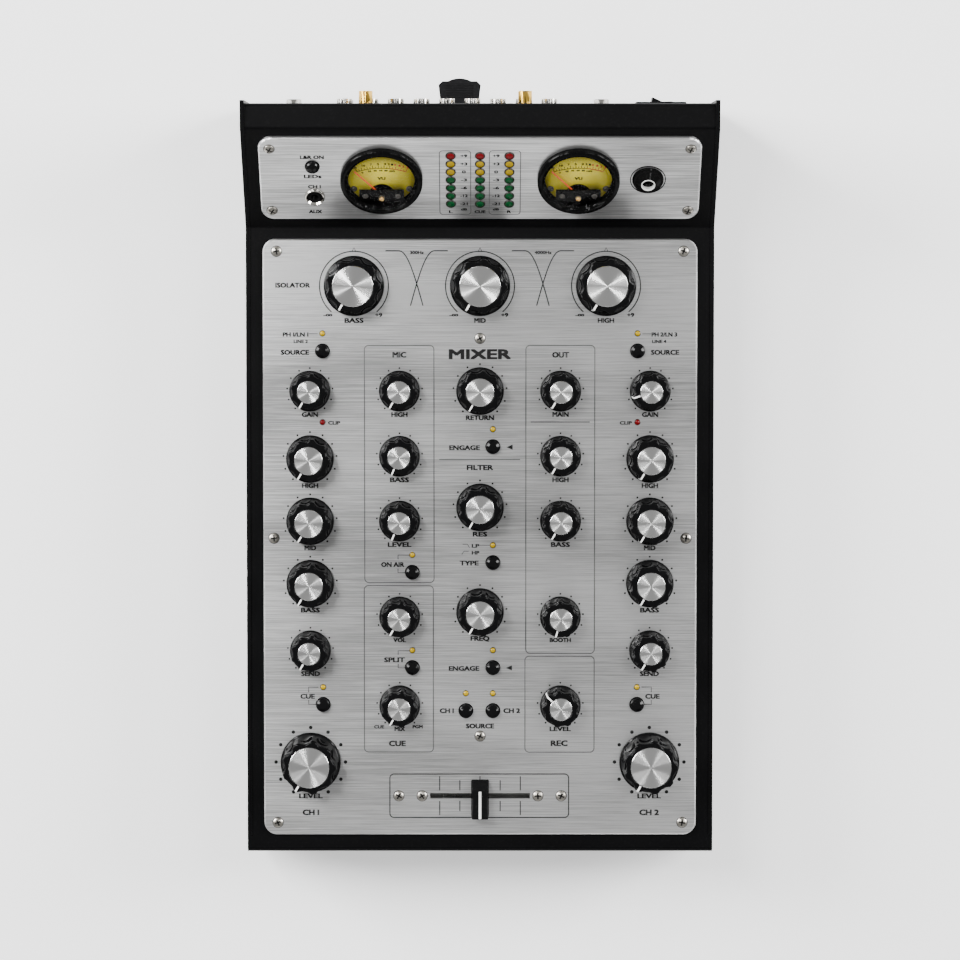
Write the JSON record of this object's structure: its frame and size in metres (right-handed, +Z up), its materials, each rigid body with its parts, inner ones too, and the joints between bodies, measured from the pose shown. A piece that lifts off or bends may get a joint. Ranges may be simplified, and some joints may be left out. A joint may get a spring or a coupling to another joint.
{
  "type": "dj mixer",
  "caption": "Desktop rotary mixer: black folded steel case, brushed plates on deck and meter slope, turning knobs, push buttons, crossfader, needle meters and rear sockets.",
  "frame": {"origin": "middle of the bounding box, on the surface that the feet stand on", "axes": "+X to the operator's right, +Y to the rear panel, +Z up"},
  "size_m": [0.254, 0.422, 0.1065],
  "materials": {
    "satin_black_steel": "satin powder coat over folded steel",
    "brushed_aluminium": "horizontally brushed, clear anodised, bevelled edges",
    "knob_plastic": "gloss black moulding with a spun aluminium cap and a white pointer",
    "button_plastic": "gloss black",
    "fader_plastic": "fine textured black with a white line",
    "meter_plastic": "gloss black bezel over a warm yellow dial",
    "clear_lens": "clear",
    "needle_paint": "red-orange paint",
    "led_epoxy": "tinted domed lamps: amber, red and green",
    "bright_steel": "bright plated",
    "black_rubber": "matt",
    "nickel_plate": "bright nickel, with gold plated ground terminals",
    "socket_plastic": "moulded black",
    "circuit_board": "green solder mask",
    "pot_metal": "plain plated"
  },
  "bodies": {
    "case": {"base_pan": "satin_black_steel", "top_cover": "satin_black_steel", "side_cheeks": "satin_black_steel", "main_faceplate": "brushed_aluminium", "meter_faceplate": "brushed_aluminium", "vu_meters": "meter_plastic", "vu_lenses": "clear_lens", "indicator_leds": "led_epoxy", "fasteners": "bright_steel", "rubber_feet": "black_rubber", "line_sockets": "nickel_plate", "jack_sockets": "socket_plastic", "power_inlet": "socket_plastic", "circuit_boards": "circuit_board", "potentiometers": "pot_metal"},
    "crossfader_cap": {"crossfader_cap": "fader_plastic"},
    "vu_needle_left": {"vu_needle_left": "needle_paint"},
    "vu_needle_right": {"vu_needle_right": "needle_paint"},
    "power_rocker": {"power_rocker": "button_plastic"},
    "microphone_release_tab": {"microphone_release_tab": "socket_plastic"},
    "knob_isolator_bass": {"knob_isolator_bass": "knob_plastic"},
    "knob_isolator_mid": {"knob_isolator_mid": "knob_plastic"},
    "knob_isolator_high": {"knob_isolator_high": "knob_plastic"},
    "knob_channel_1_gain": {"knob_channel_1_gain": "knob_plastic"},
    "knob_channel_1_high": {"knob_channel_1_high": "knob_plastic"},
    "knob_channel_1_mid": {"knob_channel_1_mid": "knob_plastic"},
    "knob_channel_1_bass": {"knob_channel_1_bass": "knob_plastic"},
    "knob_channel_1_send": {"knob_channel_1_send": "knob_plastic"},
    "knob_channel_1_level": {"knob_channel_1_level": "knob_plastic"},
    "knob_channel_2_gain": {"knob_channel_2_gain": "knob_plastic"},
    "knob_channel_2_high": {"knob_channel_2_high": "knob_plastic"},
    "knob_channel_2_mid": {"knob_channel_2_mid": "knob_plastic"},
    "knob_channel_2_bass": {"knob_channel_2_bass": "knob_plastic"},
    "knob_channel_2_send": {"knob_channel_2_send": "knob_plastic"},
    "knob_channel_2_level": {"knob_channel_2_level": "knob_plastic"},
    "knob_microphone_high": {"knob_microphone_high": "knob_plastic"},
    "knob_microphone_bass": {"knob_microphone_bass": "knob_plastic"},
    "knob_microphone_level": {"knob_microphone_level": "knob_plastic"},
    "knob_cue_volume": {"knob_cue_volume": "knob_plastic"},
    "knob_cue_mix": {"knob_cue_mix": "knob_plastic"},
    "knob_return": {"knob_return": "knob_plastic"},
    "knob_filter_resonance": {"knob_filter_resonance": "knob_plastic"},
    "knob_filter_frequency": {"knob_filter_frequency": "knob_plastic"},
    "knob_main": {"knob_main": "knob_plastic"},
    "knob_output_high": {"knob_output_high": "knob_plastic"},
    "knob_output_bass": {"knob_output_bass": "knob_plastic"},
    "knob_booth": {"knob_booth": "knob_plastic"},
    "knob_record_level": {"knob_record_level": "knob_plastic"},
    "button_channel_1_source": {"button_channel_1_source": "button_plastic"},
    "button_channel_2_source": {"button_channel_2_source": "button_plastic"},
    "button_on_air": {"button_on_air": "button_plastic"},
    "button_split_cue": {"button_split_cue": "button_plastic"},
    "button_channel_1_cue": {"button_channel_1_cue": "button_plastic"},
    "button_channel_2_cue": {"button_channel_2_cue": "button_plastic"},
    "button_return_engage": {"button_return_engage": "button_plastic"},
    "button_filter_type": {"button_filter_type": "button_plastic"},
    "button_filter_engage": {"button_filter_engage": "button_plastic"},
    "button_monitor_channel_1": {"button_monitor_channel_1": "button_plastic"},
    "button_monitor_channel_2": {"button_monitor_channel_2": "button_plastic"},
    "button_meter_leds": {"button_meter_leds": "button_plastic"}
  },
  "joints": [
    {"name": "crossfader_slide", "type": "slide", "parent": "case", "child": "crossfader_cap", "axis": [1, 0, 0], "range_m": [-0.0225, 0.0225]},
    {"name": "vu_needle_left_swing", "type": "hinge", "parent": "case", "child": "vu_needle_left", "pos_m": [-0.0527, 0.14724, 0.07621], "axis": [0, 0.6691, -0.7431], "range_deg": [0, 82], "stiffness_Nm_per_rad": 0.0002, "springref_deg": -17.19},
    {"name": "vu_needle_right_swing", "type": "hinge", "parent": "case", "child": "vu_needle_right", "pos_m": [0.0527, 0.14724, 0.07621], "axis": [0, 0.6691, -0.7431], "range_deg": [0, 82], "stiffness_Nm_per_rad": 0.0002, "springref_deg": -17.19},
    {"name": "power_rocker_tilt", "type": "hinge", "parent": "case", "child": "power_rocker", "pos_m": [0.0973, 0.1947, 0.0625], "axis": [0, 0, 1], "range_deg": [0, 24]},
    {"name": "microphone_release_press", "type": "slide", "parent": "case", "child": "microphone_release_tab", "axis": [0, 0, 1], "range_m": [0, 0.002], "stiffness_N_per_m": 400},
    {"name": "isolator_bass_turn", "type": "hinge", "parent": "case", "child": "knob_isolator_bass", "pos_m": [-0.0683, 0.0983, 0.06], "axis": [0, 0, -1], "range_deg": [0, 300]},
    {"name": "isolator_mid_turn", "type": "hinge", "parent": "case", "child": "knob_isolator_mid", "pos_m": [0, 0.0983, 0.06], "axis": [0, 0, -1], "range_deg": [0, 300]},
    {"name": "isolator_high_turn", "type": "hinge", "parent": "case", "child": "knob_isolator_high", "pos_m": [0.0683, 0.0983, 0.06], "axis": [0, 0, -1], "range_deg": [0, 300]},
    {"name": "channel_1_gain_turn", "type": "hinge", "parent": "case", "child": "knob_channel_1_gain", "pos_m": [-0.09235, 0.0413, 0.06], "axis": [0, 0, -1], "range_deg": [0, 300]},
    {"name": "channel_1_high_turn", "type": "hinge", "parent": "case", "child": "knob_channel_1_high", "pos_m": [-0.09235, 0.0044, 0.06], "axis": [0, 0, -1], "range_deg": [0, 300]},
    {"name": "channel_1_mid_turn", "type": "hinge", "parent": "case", "child": "knob_channel_1_mid", "pos_m": [-0.09235, -0.0295, 0.06], "axis": [0, 0, -1], "range_deg": [0, 300]},
    {"name": "channel_1_bass_turn", "type": "hinge", "parent": "case", "child": "knob_channel_1_bass", "pos_m": [-0.09235, -0.0635, 0.06], "axis": [0, 0, -1], "range_deg": [0, 300]},
    {"name": "channel_1_send_turn", "type": "hinge", "parent": "case", "child": "knob_channel_1_send", "pos_m": [-0.09235, -0.1002, 0.06], "axis": [0, 0, -1], "range_deg": [0, 300]},
    {"name": "channel_1_level_turn", "type": "hinge", "parent": "case", "child": "knob_channel_1_level", "pos_m": [-0.09235, -0.1614, 0.06], "axis": [0, 0, -1], "range_deg": [0, 300]},
    {"name": "channel_2_gain_turn", "type": "hinge", "parent": "case", "child": "knob_channel_2_gain", "pos_m": [0.09235, 0.0413, 0.06], "axis": [0, 0, -1], "range_deg": [-42, 258]},
    {"name": "channel_2_high_turn", "type": "hinge", "parent": "case", "child": "knob_channel_2_high", "pos_m": [0.09235, 0.0044, 0.06], "axis": [0, 0, -1], "range_deg": [0, 300]},
    {"name": "channel_2_mid_turn", "type": "hinge", "parent": "case", "child": "knob_channel_2_mid", "pos_m": [0.09235, -0.0295, 0.06], "axis": [0, 0, -1], "range_deg": [0, 300]},
    {"name": "channel_2_bass_turn", "type": "hinge", "parent": "case", "child": "knob_channel_2_bass", "pos_m": [0.09235, -0.0635, 0.06], "axis": [0, 0, -1], "range_deg": [0, 300]},
    {"name": "channel_2_send_turn", "type": "hinge", "parent": "case", "child": "knob_channel_2_send", "pos_m": [0.09235, -0.1002, 0.06], "axis": [0, 0, -1], "range_deg": [0, 300]},
    {"name": "channel_2_level_turn", "type": "hinge", "parent": "case", "child": "knob_channel_2_level", "pos_m": [0.09235, -0.1614, 0.06], "axis": [0, 0, -1], "range_deg": [0, 300]},
    {"name": "microphone_high_turn", "type": "hinge", "parent": "case", "child": "knob_microphone_high", "pos_m": [-0.04375, 0.0413, 0.06], "axis": [0, 0, -1], "range_deg": [0, 300]},
    {"name": "microphone_bass_turn", "type": "hinge", "parent": "case", "child": "knob_microphone_bass", "pos_m": [-0.04375, 0.0059, 0.06], "axis": [0, 0, -1], "range_deg": [0, 307]},
    {"name": "microphone_level_turn", "type": "hinge", "parent": "case", "child": "knob_microphone_level", "pos_m": [-0.04375, -0.0294, 0.06], "axis": [0, 0, -1], "range_deg": [0, 307]},
    {"name": "cue_volume_turn", "type": "hinge", "parent": "case", "child": "knob_cue_volume", "pos_m": [-0.04375, -0.08165, 0.06], "axis": [0, 0, -1], "range_deg": [0, 300]},
    {"name": "cue_mix_turn", "type": "hinge", "parent": "case", "child": "knob_cue_mix", "pos_m": [-0.04375, -0.1303, 0.06], "axis": [0, 0, -1], "range_deg": [0, 300]},
    {"name": "return_turn", "type": "hinge", "parent": "case", "child": "knob_return", "pos_m": [0, 0.0413, 0.06], "axis": [0, 0, -1], "range_deg": [0, 300]},
    {"name": "filter_resonance_turn", "type": "hinge", "parent": "case", "child": "knob_filter_resonance", "pos_m": [0, -0.0219, 0.06], "axis": [0, 0, -1], "range_deg": [0, 300]},
    {"name": "filter_frequency_turn", "type": "hinge", "parent": "case", "child": "knob_filter_frequency", "pos_m": [0, -0.079, 0.06], "axis": [0, 0, -1], "range_deg": [0, 300]},
    {"name": "main_turn", "type": "hinge", "parent": "case", "child": "knob_main", "pos_m": [0.04375, 0.0413, 0.06], "axis": [0, 0, -1], "range_deg": [0, 300]},
    {"name": "output_high_turn", "type": "hinge", "parent": "case", "child": "knob_output_high", "pos_m": [0.04375, 0.0059, 0.06], "axis": [0, 0, -1], "range_deg": [0, 300]},
    {"name": "output_bass_turn", "type": "hinge", "parent": "case", "child": "knob_output_bass", "pos_m": [0.04375, -0.0294, 0.06], "axis": [0, 0, -1], "range_deg": [0, 300]},
    {"name": "booth_turn", "type": "hinge", "parent": "case", "child": "knob_booth", "pos_m": [0.04375, -0.08165, 0.06], "axis": [0, 0, -1], "range_deg": [0, 313]},
    {"name": "record_level_turn", "type": "hinge", "parent": "case", "child": "knob_record_level", "pos_m": [0.04375, -0.1303, 0.06], "axis": [0, 0, -1], "range_deg": [-103, 197]},
    {"name": "channel_1_source_press", "type": "slide", "parent": "case", "child": "button_channel_1_source", "axis": [0, 0, -1], "range_m": [0, 0.002], "stiffness_N_per_m": 150},
    {"name": "channel_2_source_press", "type": "slide", "parent": "case", "child": "button_channel_2_source", "axis": [0, 0, -1], "range_m": [0, 0.002], "stiffness_N_per_m": 150},
    {"name": "on_air_press", "type": "slide", "parent": "case", "child": "button_on_air", "axis": [0, 0, -1], "range_m": [0, 0.002], "stiffness_N_per_m": 150},
    {"name": "split_cue_press", "type": "slide", "parent": "case", "child": "button_split_cue", "axis": [0, 0, -1], "range_m": [0, 0.002], "stiffness_N_per_m": 150},
    {"name": "channel_1_cue_press", "type": "slide", "parent": "case", "child": "button_channel_1_cue", "axis": [0, 0, -1], "range_m": [0, 0.002], "stiffness_N_per_m": 150},
    {"name": "channel_2_cue_press", "type": "slide", "parent": "case", "child": "button_channel_2_cue", "axis": [0, 0, -1], "range_m": [0, 0.002], "stiffness_N_per_m": 150},
    {"name": "return_engage_press", "type": "slide", "parent": "case", "child": "button_return_engage", "axis": [0, 0, -1], "range_m": [0, 0.002], "stiffness_N_per_m": 150},
    {"name": "filter_type_press", "type": "slide", "parent": "case", "child": "button_filter_type", "axis": [0, 0, -1], "range_m": [0, 0.002], "stiffness_N_per_m": 150},
    {"name": "filter_engage_press", "type": "slide", "parent": "case", "child": "button_filter_engage", "axis": [0, 0, -1], "range_m": [0, 0.002], "stiffness_N_per_m": 150},
    {"name": "monitor_channel_1_press", "type": "slide", "parent": "case", "child": "button_monitor_channel_1", "axis": [0, 0, -1], "range_m": [0, 0.002], "stiffness_N_per_m": 150},
    {"name": "monitor_channel_2_press", "type": "slide", "parent": "case", "child": "button_monitor_channel_2", "axis": [0, 0, -1], "range_m": [0, 0.002], "stiffness_N_per_m": 150},
    {"name": "meter_leds_press", "type": "slide", "parent": "case", "child": "button_meter_leds", "axis": [0, 0.6691, -0.7431], "range_m": [0, 0.002], "stiffness_N_per_m": 150}
  ]
}
